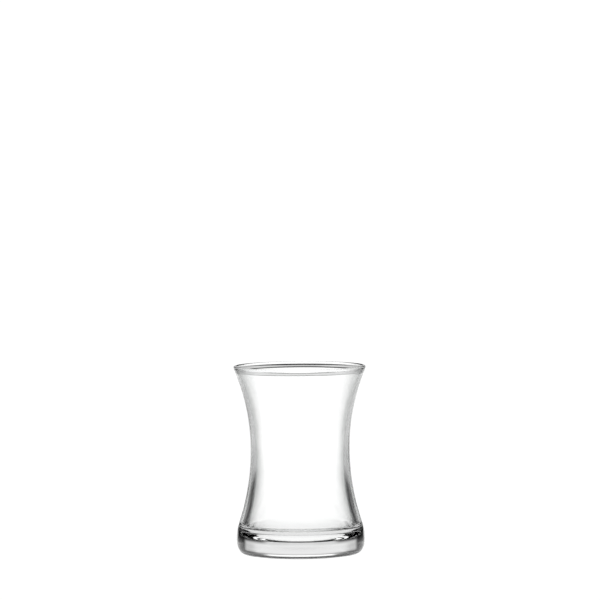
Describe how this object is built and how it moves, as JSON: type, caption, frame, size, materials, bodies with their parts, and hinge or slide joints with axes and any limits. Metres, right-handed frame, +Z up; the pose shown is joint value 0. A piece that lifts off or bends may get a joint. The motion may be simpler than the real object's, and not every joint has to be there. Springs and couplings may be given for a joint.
{
  "type": "tea glass",
  "caption": "Waisted clear drinking glass for hot tea, flared at the lip, with a heavy rounded base and a flat contact ring under the foot.",
  "frame": {"origin": "centre of the foot, on the surface that the glass stands on", "axes": "+Z up along the turning axis, from the foot to the lip; X and Y level, alike all round"},
  "size_m": [0.0584, 0.0584, 0.083],
  "materials": {
    "glass": "clear polished soda-lime glass, fire-polished lip"
  },
  "bodies": {
    "root": {"glass": "glass"}
  },
  "joints": []
}
